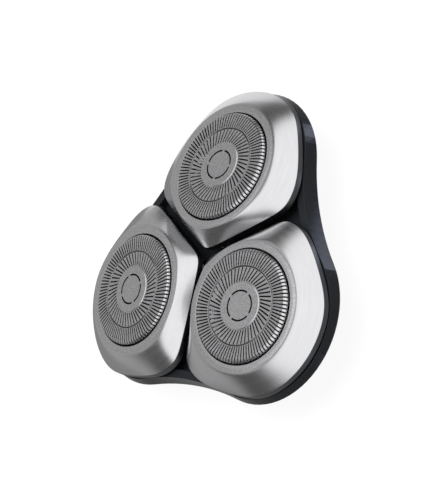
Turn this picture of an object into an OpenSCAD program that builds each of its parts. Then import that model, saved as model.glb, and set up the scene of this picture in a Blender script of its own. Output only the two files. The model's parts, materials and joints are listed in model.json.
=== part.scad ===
// Three-pod rotary shaver head, lying on the rim of its neck with the caps up.
// Origin: centre of the neck's rim. +Z points out of the face, pod 1 points along +Y.
// Pods are numbered anticlockwise seen from the front: 1 top, 2 left, 3 right.
// Lengths are in millimetres, angles in degrees.

/* [Head layout] */
// Distance from the head's axis to the centre of each cap
cap_circle_r = 16.2; // [16:0.1:16.6]
// Outward lean of each pod at rest
pod_lean = 6.35; // [5.5:0.1:7]
// Depth below the cap, along the pod's axis, where the drive meets the cutter and the pod hinges
coupling_depth = 4.42; // [4.3:0.02:4.5]
// Height of the cap centres over the frame's deck
cap_over_frame = 6.95; // [6.9:0.05:7.1]

/* [Frame] */
// Radius of each lobe of the frame at its lower edge
lobe_r = 15.6; // [15.4:0.1:15.9]
// Distance from the axis to the two valleys beside pod 1
side_valley_r = 22.05; // [21.6:0.05:22.4]
// Distance from the axis to the valley opposite pod 1
lower_valley_r = 22.25; // [21.8:0.05:22.6]
// Height of the frame's wall at the lobes, up to the deck's face
frame_h = 1.45; // [1.4:0.05:1.6]
// How much higher the wall's rim stands in the valleys
rim_rise = 1.9; // [1.5:0.1:2]
// How far the wall leans in over its height
frame_draft = 0.5; // [0.2:0.1:0.7]
// Thickness of the frame's wall
frame_wall = 1.5; // [1.3:0.1:1.7]
// Thickness of the frame's deck
deck_t = 0.8; // [0.7:0.05:0.9]
// Radius of each hole in the deck
deck_hole_r = 8.6; // [8:0.1:9]

/* [Trim] */
// Radius of the trim's outer arc
trim_r = 16.65; // [16.5:0.05:16.75]
// How far the centre of that arc lies inwards of the cap's centre
trim_back = 0.9; // [0.8:0.05:1]
// Distance from the cap's centre to the two flatter flanks beside that arc
flank_reach = 15.45; // [15.3:0.05:15.7]
// Angle of the flanks off the outward direction
flank_angle = 64; // [60:1:68]
// Gap from each straight side to the middle line between two pods
trim_gap = 1; // [0.9:0.05:1.3]
// Sharpness of the trim's corners, higher is sharper
trim_corner = 20; // [12:1:30]
// Radius of the hole round the cap
trim_hole_r = 10.35; // [10.3:0.05:10.5]
// Radius of the crease where the slope begins
crease_r = 11.5; // [11.4:0.05:11.7]
// Depth of the crease below the cap
crease_depth = 0.7; // [0.5:0.05:0.8]
// Drop of the slope from the crease to the skirt
slope_drop = 2.9; // [2.8:0.05:3]
// How round the slope is, 1 is a straight cone
slope_round = 1.3; // [1.1:0.05:1.5]
// Height of the skirt
skirt_h = 1.1; // [1:0.05:1.15]
// Thickness of the trim's sheet
trim_t = 0.6; // [0.5:0.05:0.65]

/* [Cap] */
// Outer radius of the cap
cap_r = 10.05; // [9.9:0.05:10.1]
// Thickness of the cap over its tracks
cap_t = 0.4; // [0.3:0.05:0.45]
// Depth of the cap from its face to the end of its flange
cap_h = 2.95; // [2.9:0.05:3]
// Outer radius of the cap's flange
flange_r = 10.7; // [10.6:0.05:10.7]
// Thickness of the cap's flange
flange_t = 0.5; // [0.4:0.05:0.6]
// Radius of the groove between the two tracks
groove_r = 7; // [6.9:0.05:7.1]
// Width of that groove
groove_w = 0.3; // [0.2:0.05:0.4]
// Depth of that groove
groove_depth = 0.15; // [0.1:0.05:0.2]
// Number of slots in the inner track
inner_slots = 50; // [40:1:54]
// Number of slots in the outer track
outer_slots = 92; // [80:1:96]
// Width of the inner slots
inner_slot_w = 0.27; // [0.2:0.01:0.3]
// Width of the outer slots
outer_slot_w = 0.26; // [0.2:0.01:0.28]
// Slant of the inner slots off the radius
inner_slant = 17; // [0:1:20]
// Slant of the outer slots off the radius
outer_slant = 7.5; // [0:0.5:12]
// Depth to which the outer slots run down the cap's edge
slot_depth = 0.8; // [0.6:0.1:1]
// Radius of the disc in the middle of the cap
disc_r = 4.24; // [4.1:0.02:4.3]
// Height of that disc over the cap's face
disc_t = 0.14; // [0.1:0.02:0.2]
// Radius of the four arc slots in the disc
arc_r = 2.65; // [2.4:0.05:2.8]
// Width of the arc slots
arc_w = 0.32; // [0.2:0.02:0.36]
// Angle that each arc slot spans
arc_span = 78; // [70:1:82]
// How far the cap can be pressed into its pod
cap_travel = 0.8; // [0.6:0.05:0.8]

/* [Cutter] */
// Number of arms on the cutter
cutter_arms = 12; // [9:1:15]
// Outer radius of the cutter
cutter_r = 9.3; // [9.1:0.05:9.4]
// Thickness of the cutter's sheet and blades
cutter_t = 0.4; // [0.3:0.05:0.45]
// Width of each arm
arm_w = 1.3; // [1.1:0.1:1.5]
// Forward lean of the blades
blade_lean = 20; // [10:1:25]
// Running gap from the blade tips to the cap
blade_gap = 0.06; // [0.05:0.01:0.1]
// Across flats of the hub's socket
socket_flats = 3.6; // [3.5:0.05:3.8]
// Radius of the hub's boss
boss_r = 3.4; // [3.2:0.1:3.5]
// Radius of the pin that centres the cutter in the cap
pivot_r = 1.2; // [1:0.05:1.3]

/* [Drive] */
// Teeth on the drive gear, a multiple of three so that all three pods mesh alike
drive_teeth = 18; // [15:3:18]
// Teeth on each driven gear
driven_teeth = 24; // [21:1:24]
// Pressure angle of the teeth
pressure_angle = 20; // [20:1:22]
// Backlash taken off each tooth
backlash = 0.14; // [0.1:0.01:0.2]
// Thickness of the gears
gear_t = 2; // [1.8:0.1:2.2]
// Radius of the driven gear's tube
tube_r = 3; // [2.9:0.05:3.2]
// Across flats of the spindle's shank
shank_flats = 3.2; // [3:0.05:3.3]
// Across flats of the spindle's head
tip_flats = 3; // [2.8:0.05:3]
// Radius of the gears' small journals
journal_r = 1.5; // [1.4:0.05:1.6]
// Radius of the drive gear's hub
hub_r = 3.2; // [3.1:0.05:3.4]
// Across flats of the socket for the handle's shaft
drive_flats = 4.2; // [4:0.1:4.4]
// Depth of that socket
drive_socket_depth = 4.5; // [4:0.1:5]

/* [Rear housing] */
// Length of the neck that enters the handle
neck_len = 6.6; // [6.4:0.1:8]
// Outer radius of the neck
neck_r = 9.5; // [9.3:0.05:9.6]
// Wall of the neck
neck_wall = 1.5; // [1.3:0.1:1.8]
// Depth of the neck's wide mouth, which takes the handle's collar
mouth_depth = 2.8; // [2.6:0.1:3]
// Wall of the gear bowl
bowl_wall = 0.9; // [0.8:0.05:1.1]
// Thickness of the housing's floor
floor_t = 1.2; // [1:0.1:1.4]
// Thickness of the gear plate
plate_t = 1; // [0.9:0.1:1.1]
// Distance from the axis to each screw
screw_circle_r = 17; // [16.8:0.1:17]
// Shank radius of the screws
screw_r = 0.9; // [0.8:0.05:0.95]

/* [Clearances] */
// Radial gap of a running bearing
running_gap = 0.05; // [0.03:0.01:0.08]
// Gap between pieces of one assembly that only sit together
seat_gap = 0.05; // [0.02:0.01:0.08]
// Gap at the ends of the gears
gear_gap = 0.4; // [0.35:0.05:0.5]

/* [Springs] */
// Wire radius of the springs
wire_r = 0.15; // [0.1:0.01:0.18]
// Turns of each spring
spring_turns = 3.5; // [3:0.5:4]
// Coil radius of the pod springs, to the middle of the wire
pod_coil_r = 1.3; // [1.1:0.05:1.4]
// Coil radius of the spindle springs, to the middle of the wire
spindle_coil_r = 1.25; // [1:0.05:1.3]

/* [Hidden] */
POD_IDS = [1, 2, 3];

round_fn = 64;
past = 0.5;

// Heights in the head's frame, stacked up from the neck's rim
floor_z = neck_len;
gear_z = floor_z + floor_t + gear_gap;
plate_z = gear_z + gear_t + gear_gap / 2;
plate_recess = 0.2;
frame_z = plate_z + plate_t + plate_recess;
frame_top = frame_z + frame_h;
deck_z = frame_top - deck_t;
cap_plane = frame_top + cap_over_frame;

// Where the pod's axis crosses the spindle's upright axis
coupling_z = cap_plane - coupling_depth * cos(pod_lean);
spindle_r = cap_circle_r - coupling_depth * sin(pod_lean);
gear_module = 2 * spindle_r / (drive_teeth + driven_teeth);
driven_tip_r = gear_module * (driven_teeth / 2 + 1);
drive_tip_r = gear_module * (drive_teeth / 2 + 1);

// Heights in a pod's frame, measured from the cap's face
trim_z = -crease_depth;
skirt_top = trim_z - slope_drop;
skirt_bottom = skirt_top - skirt_h;
skirt_lean = 0.035;
annulus_drop = 0.08;
lip_top = trim_z - annulus_drop - trim_t - seat_gap;
lip_bottom = -(cap_h - flange_t) + seat_gap;
ring_top = -(cap_h + cap_travel) - 2 * seat_gap;
ring_t = 0.7;
carrier_bottom = ring_top - ring_t - 2 * seat_gap;
bore_r = flange_r + 0.1;
carrier_r = bore_r + 0.9;
lip_r = cap_r + 0.25;
pin_r = 1;
pin_boss_r = 1.6;
pin_start = carrier_r + 0.7;
ear_x = pin_start + 0.2;
ear_t = 1;
ear_r = pin_r + 0.5;
pin_end = ear_x + ear_t;

// Blades stand on the cutter's sheet and reach up to the cap
blade_top = -cap_t - blade_gap;
sheet_z = -2.75;
blade_foot = sheet_z + cutter_t / 2;
track_in = [disc_r + 0.36, groove_r - 0.4];
track_out = [groove_r + 0.35, cutter_r];
hub_disc_t = 0.55;
hub_top = sheet_z - seat_gap;
boss_end = -(coupling_depth + 0.88);
socket_top = -(coupling_depth - 1.17);

// Spindle and tube
tip_half = 0.65;
hex_gap = 0.08;
tube_end = boss_end * cos(pod_lean) + cap_plane - cap_travel - boss_r * sin(pod_lean) - 0.45;
well_z = gear_z + 0.7;
shank_top = tube_end - 0.2;
shank_z = well_z + 2;
neck_bore_r = neck_r - neck_wall;
mouth_step = 0.6;
hub_z = mouth_depth + 0.2;

// Gear bowl
bowl_r = driven_tip_r + 0.4;
bowl_mid_r = drive_tip_r + 0.7;
ledge_w = 0.4;
bowl_out_r = bowl_r + ledge_w + bowl_wall;
bowl_chamfer = 0.9;

module on_pod(k) {
    rotate([0, 0, 120 * (k - 1)])
        translate([0, cap_circle_r, cap_plane])
            rotate([-pod_lean, 0, 0]) children();
}

module on_spindle(k) {
    rotate([0, 0, 120 * (k - 1)]) translate([0, spindle_r, 0]) children();
}

// Three places between the pods, at azimuths 30, 150 and 270
module on_valleys(r) {
    for (k = POD_IDS) rotate([0, 0, 120 * k - 90]) translate([r, 0, 0]) children();
}

function polar(r, angle) = [r * cos(angle), r * sin(angle)];

// Outline of the frame: three lobes joined by hollow arcs that touch them smoothly.
// A hollow arc's centre lies this far out, so that its nearest point is at valley_r.
function hollow_centre(valley_r) =
    let (k = lobe_r - valley_r)
    (cap_circle_r * cap_circle_r - k * k) / (cap_circle_r + 2 * k);

// Angle on a lobe, off its tangent direction, at which the hollow arc takes over
function touch_angle(valley_r) =
    let (far = hollow_centre(valley_r))
    atan((far * cos(60) - cap_circle_r) / (far * sin(60)));

valley_rs = [side_valley_r, lower_valley_r, side_valley_r];
lobe_steps = 28;
hollow_steps = 12;

function frame_outline(inset) = [
    for (i = [0:2])
        let (
            azimuth = 90 + 120 * i,
            before = touch_angle(valley_rs[(i + 2) % 3]),
            after = touch_angle(valley_rs[i]),
            from = azimuth - 90 + before,
            to = azimuth + 90 - after,
            lobe = polar(cap_circle_r, azimuth),
            far = hollow_centre(valley_rs[i]),
            hollow = polar(far, azimuth + 60),
            hollow_r = far - valley_rs[i] + inset,
            half = 30 - after
        )
        each concat(
            [for (s = [0:lobe_steps]) lobe + polar(lobe_r - inset, from + (to - from) * s / lobe_steps)],
            [for (s = [1:hollow_steps - 1])
                hollow + polar(hollow_r, azimuth + 240 + half - 2 * half * s / hollow_steps)]
        )
];

// Height of the wall's rim: level with the deck at the lobes, highest in the valleys
function rim_z(p) = frame_top + rim_rise * (1 + cos(3 * (atan2(p.y, p.x) - 30))) / 2;

// Solid inside the frame's wall, closed by fans about the axis
module frame_body() {
    low = frame_outline(0);
    high = frame_outline(frame_draft);
    n = len(low);
    polyhedron(
        points = concat(
            [for (p = low) [p.x, p.y, frame_z]],
            [for (p = high) [p.x, p.y, rim_z(p)]],
            [[0, 0, frame_z], [0, 0, frame_top + rim_rise]]
        ),
        faces = [
            for (i = [0:n - 1])
                let (j = (i + 1) % n)
                each [[j, i, n + i], [j, n + i, n + j], [i, j, 2 * n], [n + j, n + i, 2 * n + 1]]
        ]
    );
}

module frame_ear() {
    for (side = [-1, 1]) scale([side, 1, 1]) translate([ear_x, 0, 0]) {
        translate([0, -ear_r, frame_top - seat_gap]) cube([ear_t, 2 * ear_r, coupling_z - frame_top + seat_gap]);
        translate([0, 0, coupling_z]) rotate([0, 90, 0]) cylinder(h = ear_t, r = ear_r, $fn = round_fn);
    }
}

spring_seat_y = carrier_r + 0.2;
spring_seat_r = cap_circle_r - spring_seat_y * cos(pod_lean) + carrier_bottom * sin(pod_lean);
cup_h = 0.6;
screw_boss_r = 1.7;
screw_boss_z = frame_z - 0.8;
screw_end_z = deck_z + deck_t / 2;

// Glossy black moulding: outer wall, deck with three holes, bearing ears and screw bosses
module head_frame() {
    cup_r = pod_coil_r + wire_r + 0.2;
    hold_down_r = 6.5;
    color([0.07, 0.07, 0.08]) difference() {
        union() {
            difference() {
                frame_body();
                translate([0, 0, frame_z - past])
                    linear_extrude(deck_z - frame_z + past) polygon(frame_outline(frame_wall));
                translate([0, 0, frame_top])
                    linear_extrude(rim_rise + past) polygon(frame_outline(frame_draft + frame_wall));
            }
            for (k = POD_IDS) {
                on_spindle(k) frame_ear();
                rotate([0, 0, 120 * (k - 1)]) translate([0, spring_seat_r, frame_top - seat_gap])
                    cylinder(h = cup_h + seat_gap, r = cup_r + 0.5, $fn = round_fn);
            }
            on_valleys(screw_circle_r)
                translate([0, 0, screw_boss_z])
                    cylinder(h = deck_z - screw_boss_z + deck_t / 8, r = screw_boss_r, $fn = round_fn);
            on_valleys(hold_down_r)
                translate([0, 0, plate_z + plate_t + seat_gap])
                    cylinder(h = deck_z - plate_z - plate_t, r = 1, $fn = round_fn);
        }
        for (k = POD_IDS) {
            on_spindle(k) translate([0, 0, deck_z - past])
                cylinder(h = deck_t + 2 * past, r = deck_hole_r, $fn = round_fn);
            on_spindle(k) translate([-ear_x - ear_t - past, 0, coupling_z]) rotate([0, 90, 0])
                cylinder(h = 2 * (ear_x + ear_t + past), r = pin_r + running_gap, $fn = round_fn);
            rotate([0, 0, 120 * (k - 1)]) translate([0, spring_seat_r, frame_top])
                cylinder(h = cup_h + past, r = cup_r, $fn = round_fn);
        }
        on_valleys(screw_circle_r) translate([0, 0, screw_boss_z - past])
            cylinder(h = screw_end_z - screw_boss_z + past, r = screw_r + seat_gap, $fn = round_fn);
    }
}

module three_lobes(r, mid_r) {
    circle(r = mid_r, $fn = round_fn);
    for (k = POD_IDS) on_spindle(k) circle(r = r, $fn = round_fn);
}

lug_r = 2.5;
lug_z = frame_z - 2.2;
lug_web_z = frame_z - 1.4;
screw_head_r = 1.7;
bush_r = hub_r + 1.2;
bush_drop = 1.6;

// Rear moulding: flange inside the frame, gear bowl and the neck that enters the handle
module rear_housing() {
    flange_h = deck_z - frame_z - 0.1;
    root_r = neck_r + 0.5;
    boss_drop = bush_drop + 0.2;
    latch_w = 2.6;
    color([0.10, 0.10, 0.11]) difference() {
        union() {
            translate([0, 0, frame_z]) linear_extrude(flange_h) polygon(frame_outline(frame_wall + 0.1));
            translate([0, 0, floor_z + bowl_chamfer])
                linear_extrude(frame_z - floor_z - bowl_chamfer)
                    three_lobes(bowl_out_r, bowl_mid_r + ledge_w + bowl_wall);
            for (k = POD_IDS) on_spindle(k) translate([0, 0, floor_z])
                cylinder(h = bowl_chamfer, r1 = bowl_out_r - bowl_chamfer, r2 = bowl_out_r, $fn = round_fn);
            rotate([0, 0, 30]) translate([0, 0, floor_z - 0.7])
                cylinder(h = bowl_chamfer + 1.1, r = root_r, $fn = round_fn);
            cylinder(h = floor_z, r = neck_r, $fn = round_fn);
            on_valleys(screw_circle_r) translate([0, 0, lug_z])
                cylinder(h = frame_z + flange_h / 2 - lug_z, r = lug_r, $fn = round_fn);
        }
        translate([0, 0, floor_z + floor_t]) linear_extrude(plate_z - floor_z - floor_t + past)
            three_lobes(bowl_r, bowl_mid_r);
        translate([0, 0, plate_z]) linear_extrude(frame_z + flange_h - plate_z + past)
            three_lobes(bowl_r + ledge_w, bowl_mid_r + ledge_w);
        translate([0, 0, -past]) cylinder(h = mouth_depth + past, r = neck_bore_r, $fn = round_fn);
        difference() {
            translate([0, 0, mouth_depth - past])
                cylinder(h = floor_z - mouth_depth + past, r = neck_bore_r - mouth_step, $fn = round_fn);
            translate([0, 0, floor_z - boss_drop]) cylinder(h = boss_drop + past, r = bush_r + 0.8, $fn = round_fn);
        }
        translate([0, 0, floor_z - boss_drop - past])
            cylinder(h = boss_drop + floor_t + 2 * past, r = bush_r + seat_gap, $fn = round_fn);
        on_valleys(neck_r - 0.6) translate([0, -latch_w / 2, 2]) cube([2, latch_w, 1.6]);
        for (k = POD_IDS) on_spindle(k) translate([0, 0, floor_z + floor_t - 0.85])
            cylinder(h = 2, r = journal_r + running_gap, $fn = round_fn);
        on_valleys(screw_circle_r) {
            translate([0, 0, lug_z - past]) cylinder(h = lug_web_z - lug_z + past, r = screw_head_r + 0.2, $fn = round_fn);
            translate([0, 0, lug_z - past])
                cylinder(h = screw_end_z - lug_z + past, r = screw_r + 0.2, $fn = round_fn);
            translate([0, 0, screw_boss_z - seat_gap])
                cylinder(h = screw_end_z - screw_boss_z, r = screw_boss_r + 0.1, $fn = round_fn);
        }
    }
}

// Plate that closes the gear bowl and carries the tubes of the driven gears
module gear_plate() {
    color([0.75, 0.76, 0.78]) difference() {
        union() {
            translate([0, 0, plate_z]) linear_extrude(plate_t)
                three_lobes(bowl_r + ledge_w - 0.1, bowl_mid_r + ledge_w - 0.1);
            for (k = POD_IDS) on_spindle(k) translate([0, 0, plate_z])
                cylinder(h = plate_t + 0.7, r = tube_r + 1.1, $fn = round_fn);
        }
        for (k = POD_IDS) on_spindle(k) translate([0, 0, plate_z - past])
            cylinder(h = plate_t + 2, r = tube_r + running_gap, $fn = round_fn);
        translate([0, 0, plate_z - past])
            cylinder(h = plate_t + 2 * past, r = journal_r + running_gap, $fn = round_fn);
    }
}

// Bearing bush of the drive gear, pressed into the housing's floor
module drive_bush() {
    top = floor_z + floor_t;
    color([0.80, 0.66, 0.35]) difference() {
        union() {
            translate([0, 0, floor_z - bush_drop]) cylinder(h = floor_t + bush_drop, r = bush_r, $fn = round_fn);
            translate([0, 0, top]) cylinder(h = gear_gap / 2, r = bush_r + 0.8, $fn = round_fn);
        }
        translate([0, 0, floor_z - bush_drop - past])
            cylinder(h = bush_drop + floor_t + gear_gap + 2 * past, r = hub_r + running_gap, $fn = round_fn);
    }
}

// Rubber ring that seals the joint with the handle
module neck_seal() {
    seal_r = neck_r + 1;
    color([0.16, 0.16, 0.17]) rotate_extrude($fn = round_fn)
        translate([seal_r, floor_z - 0.35])
            difference() {
                circle(r = 0.45, $fn = 32);
                translate([-2, 0.35 - seat_gap / 10]) square([4, 1]);
            }
}

module housing_screws() {
    head_h = 0.7;
    color([0.62, 0.63, 0.65]) on_valleys(screw_circle_r) {
        translate([0, 0, lug_web_z - head_h]) difference() {
            cylinder(h = head_h, r = screw_head_r, $fn = round_fn);
            translate([0, 0, -past]) linear_extrude(past + 0.4) {
                square([2, 0.45], center = true);
                square([0.45, 2], center = true);
            }
        }
        translate([0, 0, lug_web_z]) cylinder(h = screw_end_z - seat_gap - lug_web_z, r = screw_r, $fn = round_fn);
    }
}

// Outline radius of the trim at an angle round the cap: the outer arc, two flanks and the two
// straight sides blended by a power mean, so that the corners come out round
function trim_reach(angle) =
    let (
        back = trim_back * sin(angle),
        arc = -back + sqrt(back * back + trim_r * trim_r - trim_back * trim_back),
        side = cap_circle_r * sin(60) - trim_gap,
        edges = [[-60, side], [-120, side], [90 - flank_angle, flank_reach], [90 + flank_angle, flank_reach]],
        shares = [for (e = edges) pow(max(0, cos(angle - e[0])) / e[1], trim_corner)]
    )
    pow(pow(1 / arc, trim_corner) + shares * [1, 1, 1, 1], -1 / trim_corner);

// Section of the trim at an angle, outside first and then back along the inside, as [r, z] pairs
trim_outer_steps = 6;
trim_inner_steps = 3;
function trim_section(angle) =
    let (
        reach = trim_reach(angle),
        edge = reach - skirt_lean * (reach - crease_r),
        inner_start = crease_r - 0.2,
        inner_edge = edge - trim_t,
        under = trim_z - annulus_drop - trim_t
    )
    concat(
        [[trim_hole_r, trim_z - annulus_drop]],
        [for (i = [0:trim_outer_steps])
            let (t = i / trim_outer_steps)
            [crease_r + (edge - crease_r) * t, trim_z - slope_drop * pow(t, slope_round)]],
        [[reach, skirt_bottom], [reach - trim_t, skirt_bottom]],
        [for (i = [trim_inner_steps:-1:0])
            let (t = i / trim_inner_steps)
            [inner_start + (inner_edge - inner_start) * t,
                under + (skirt_top - trim_t / 2 - under) * pow(t, slope_round)]],
        [[trim_hole_r, under]]
    );

trim_segments = 72;

// Brushed metal shield round the cap
module pod_trim(k) {
    sections = [for (s = [0:trim_segments - 1]) trim_section(360 * s / trim_segments)];
    m = len(sections[0]);
    points = [
        for (s = [0:trim_segments - 1])
            for (p = sections[s]) [p[0] * cos(360 * s / trim_segments), p[0] * sin(360 * s / trim_segments), p[1]]
    ];
    faces = [
        for (s = [0:trim_segments - 1])
            for (i = [0:m - 1])
                let (
                    a = s * m + i,
                    b = s * m + (i + 1) % m,
                    c = ((s + 1) % trim_segments) * m + (i + 1) % m,
                    d = ((s + 1) % trim_segments) * m + i
                )
                each [[a, b, c], [a, c, d]]
    ];
    color([0.72, 0.72, 0.73]) on_pod(k) polyhedron(points = points, faces = faces);
}

lug_turns = [30, 150, 270];
ring_lug_w = 3;

// Black ring that carries the trim and guides the cap, with the two hinge pins
module pod_carrier(k) {
    toe_r = pod_coil_r + wire_r + 0.05;
    toe_top = skirt_top - 0.1;
    color([0.09, 0.09, 0.10]) on_pod(k) difference() {
        union() {
            translate([0, 0, carrier_bottom])
                cylinder(h = lip_bottom - carrier_bottom, r = carrier_r, $fn = round_fn);
            translate([0, 0, lip_bottom - past])
                cylinder(h = lip_top - lip_bottom + past, r = crease_r - 0.3, $fn = round_fn);
            translate([0, -spring_seat_y, carrier_bottom])
                cylinder(h = toe_top - carrier_bottom, r = toe_r, $fn = round_fn);
            translate([-pin_start, 0, -coupling_depth]) rotate([0, 90, 0])
                cylinder(h = 2 * pin_start, r = pin_boss_r, $fn = round_fn);
            translate([-pin_end, 0, -coupling_depth]) rotate([0, 90, 0])
                cylinder(h = 2 * pin_end, r = pin_r, $fn = round_fn);
        }
        translate([0, 0, carrier_bottom - past])
            cylinder(h = lip_top - carrier_bottom + 2 * past, r = lip_r, $fn = round_fn);
        translate([0, 0, -coupling_depth - pin_boss_r - past])
            cylinder(h = coupling_depth + pin_boss_r + past + lip_bottom, r = bore_r, $fn = round_fn);
        for (turn = lug_turns) rotate([0, 0, turn])
            translate([bore_r - past, -ring_lug_w / 2 - 0.15, carrier_bottom - past])
                cube([past + 0.55, ring_lug_w + 0.3, ring_top - carrier_bottom + past + seat_gap]);
    }
}

// Ring that clips into the carrier from behind and keeps the cap and cutter in
module retaining_ring(k) {
    ring_in_r = 8.9;
    color([0.85, 0.86, 0.88]) on_pod(k) translate([0, 0, ring_top - ring_t]) difference() {
        union() {
            cylinder(h = ring_t, r = bore_r - seat_gap, $fn = round_fn);
            for (turn = lug_turns) rotate([0, 0, turn])
                translate([bore_r - 1, -ring_lug_w / 2, 0]) cube([1.4, ring_lug_w, ring_t]);
        }
        translate([0, 0, -past]) cylinder(h = ring_t + 2 * past, r = ring_in_r, $fn = round_fn);
    }
}

// Slots of one track: straight saw cuts, slanted off the radius
module track_slots(count, r0, r1, width, slant) {
    middle = (r0 + r1) / 2;
    length = (r1 - r0) / cos(slant);
    for (i = [0:count - 1]) rotate(360 * i / count)
        translate([middle, 0]) rotate(slant) square([length, width], center = true);
}

// The slots of pod 2 slant the other way, as the photograph shows them
slant_turn = [-1, 1, -1];

// Slotted steel cap, pressed from sheet, with two tracks of hair slots
module cutter_cap(k) {
    wall_in_r = cap_r - 0.4;
    plug_hole_r = disc_r - 0.94;
    turn = slant_turn[k - 1];
    color([0.78, 0.78, 0.80]) on_pod(k) difference() {
        rotate_extrude($fn = 96) polygon([
            [plug_hole_r, 0],
            [cap_r - 0.6, 0],
            [cap_r - 0.25, -0.1],
            [cap_r - 0.06, -0.3],
            [cap_r, -0.6],
            [cap_r, flange_t - cap_h],
            [flange_r, flange_t - cap_h],
            [flange_r, -cap_h],
            [wall_in_r, -cap_h],
            [wall_in_r, -cap_t - 0.15],
            [wall_in_r - 0.15, -cap_t],
            [plug_hole_r, -cap_t]
        ]);
        rotate_extrude($fn = 96)
            translate([groove_r - groove_w / 2, -groove_depth]) square([groove_w, groove_depth + past]);
        translate([0, 0, -slot_depth]) linear_extrude(slot_depth + past) {
            track_slots(inner_slots, disc_r + 0.1, groove_r - 0.2, inner_slot_w, turn * inner_slant);
            track_slots(outer_slots, groove_r + 0.22, cap_r + 0.3, outer_slot_w, turn * outer_slant);
        }
    }
}

// Disc in the middle of the cap, with four arc slots and the cutter's bearing behind
module cap_centre(k) {
    plug_r = disc_r - 0.94 - seat_gap;
    plug_depth = 1.7;
    bearing_roof = -0.7;
    chamfer = 0.1;
    slot_cut = 0.5;
    color([0.68, 0.68, 0.69]) on_pod(k) difference() {
        union() {
            cylinder(h = disc_t - chamfer, r = disc_r, $fn = round_fn);
            translate([0, 0, disc_t - chamfer])
                cylinder(h = chamfer, r1 = disc_r, r2 = disc_r - chamfer, $fn = round_fn);
            translate([0, 0, -plug_depth]) cylinder(h = plug_depth, r = plug_r, $fn = round_fn);
        }
        translate([0, 0, -plug_depth - past])
            cylinder(h = plug_depth + past + bearing_roof, r = pivot_r + running_gap, $fn = round_fn);
        for (i = [0:3]) rotate([0, 0, 90 * i + 45 - arc_span / 2])
            rotate_extrude(angle = arc_span, $fn = 96)
                translate([arc_r - arc_w / 2, disc_t - slot_cut]) square([arc_w, slot_cut + past]);
    }
}

// One raked blade, standing along a radius between two radii
module blade(track) {
    rise = blade_top - blade_foot;
    shift = rise * tan(blade_lean);
    width = cutter_t / cos(blade_lean);
    translate([track[0], 0, blade_foot]) rotate([90, 0, 90]) linear_extrude(track[1] - track[0])
        polygon([[-width / 2, 0], [width / 2, 0], [width / 2 + shift, rise], [-width / 2 + shift, rise]]);
}

// Steel cutter: a ring with arms, and on each arm one blade for each track
module cutter_blades(k) {
    ring_in_r = pivot_r + 1.2;
    ring_out_r = disc_r + 0.2;
    color([0.82, 0.83, 0.85]) on_pod(k) {
        translate([0, 0, sheet_z]) linear_extrude(cutter_t) difference() {
            union() {
                circle(r = ring_out_r, $fn = round_fn);
                for (i = [0:cutter_arms - 1]) rotate(360 * i / cutter_arms)
                    translate([ring_in_r + 0.3, -arm_w / 2]) square([cutter_r - ring_in_r - 0.3, arm_w]);
            }
            circle(r = ring_in_r, $fn = round_fn);
        }
        for (i = [0:cutter_arms - 1]) rotate([0, 0, 360 * i / cutter_arms]) {
            blade(track_in);
            blade(track_out);
        }
    }
}

module hexagon(flats) {
    circle(r = flats / 2 / cos(30), $fn = 6);
}

// Plastic hub under the cutter, with the spindle's socket and the centring pin
module cutter_hub(k) {
    color([0.30, 0.45, 0.62]) on_pod(k) difference() {
        union() {
            translate([0, 0, hub_top - hub_disc_t]) cylinder(h = hub_disc_t, r = disc_r + 0.1, $fn = round_fn);
            translate([0, 0, boss_end]) cylinder(h = hub_top - boss_end - 0.1, r = boss_r, $fn = round_fn);
            translate([0, 0, hub_top - 0.1]) cylinder(h = cutter_t + 0.4, r = pivot_r + 1.1, $fn = round_fn);
            translate([0, 0, hub_top - 0.1]) cylinder(h = -0.85 - hub_top + 0.1, r = pivot_r, $fn = round_fn);
        }
        translate([0, 0, boss_end - past]) linear_extrude(socket_top - boss_end + past) hexagon(socket_flats);
    }
}

// Spindle that slides in the driven gear's tube and turns the cutter hub
module drive_spindle(k) {
    taper = 0.3;
    color([0.86, 0.87, 0.88]) on_spindle(k) {
        translate([0, 0, shank_z]) linear_extrude(shank_top - shank_z) hexagon(shank_flats);
        translate([0, 0, shank_top - 0.2])
            cylinder(h = coupling_z - tip_half - shank_top + 0.4, r = tip_flats / 2 - 0.3, $fn = round_fn);
        translate([0, 0, coupling_z - tip_half]) linear_extrude(2 * tip_half - taper) hexagon(tip_flats);
        translate([0, 0, coupling_z + tip_half - taper])
            cylinder(h = taper, r1 = tip_flats / 2 - 0.02, r2 = tip_flats / 2 - taper, $fn = round_fn);
    }
}

// Involute gear tooth: half angle of the tooth at a radius
function involute(angle) = tan(angle) * 180 / PI - angle;
function tooth_half_angle(teeth, r) =
    let (
        pitch_r = gear_module * teeth / 2,
        base_r = pitch_r * cos(pressure_angle),
        at_pitch = 90 / teeth - (backlash / 2) / pitch_r * 180 / PI,
        local = acos(min(1, base_r / max(r, base_r)))
    )
    at_pitch + involute(pressure_angle) - involute(local);

function gear_outline(teeth) =
    let (
        pitch_r = gear_module * teeth / 2,
        root_r = pitch_r - 1.25 * gear_module,
        tip_r = pitch_r + gear_module,
        base_r = pitch_r * cos(pressure_angle),
        start_r = max(base_r, root_r + 0.1),
        steps = 3,
        radii = concat([root_r], [for (i = [0:steps]) start_r + (tip_r - start_r) * i / steps])
    )
    [
        for (t = [0:teeth - 1])
            let (middle = 360 * t / teeth)
            each concat(
                [for (r = radii) polar(r, middle - tooth_half_angle(teeth, r))],
                [for (i = [len(radii) - 1:-1:0]) polar(radii[i], middle + tooth_half_angle(teeth, radii[i]))]
            )
    ];

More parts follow.
